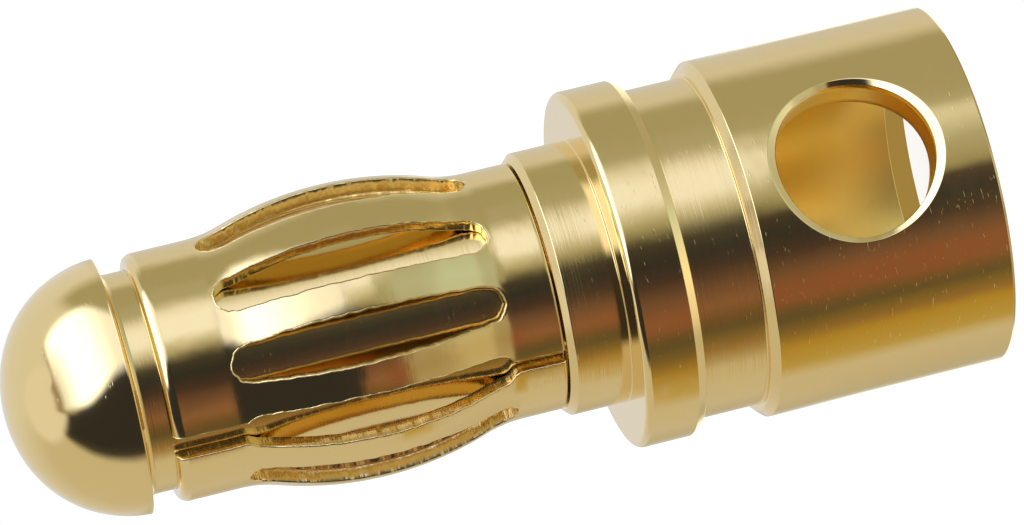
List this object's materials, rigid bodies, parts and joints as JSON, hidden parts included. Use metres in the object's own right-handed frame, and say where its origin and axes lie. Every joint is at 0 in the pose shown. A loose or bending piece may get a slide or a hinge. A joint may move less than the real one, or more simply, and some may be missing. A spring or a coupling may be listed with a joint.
{
  "type": "bullet connector plug",
  "caption": "Male bullet connector: a turned plug with a domed tip, a bulged spring contact cage, a flange and a solder cup with a cross hole.",
  "frame": {"origin": "centre of the solder cup's rim plane, where the plug stands on its cup", "axes": "+Z along the plug's axis towards its domed tip; -Y out of the cross hole in the cup's wall; +X completes the right hand"},
  "size_m": [0.0044, 0.0044, 0.0121],
  "materials": {
    "plated_brass": "polished gold plate over turned brass",
    "plated_spring": "polished gold plate over punched spring sheet"
  },
  "bodies": {
    "root": {"plug_body": "plated_brass", "contact_cage": "plated_spring"}
  },
  "joints": []
}
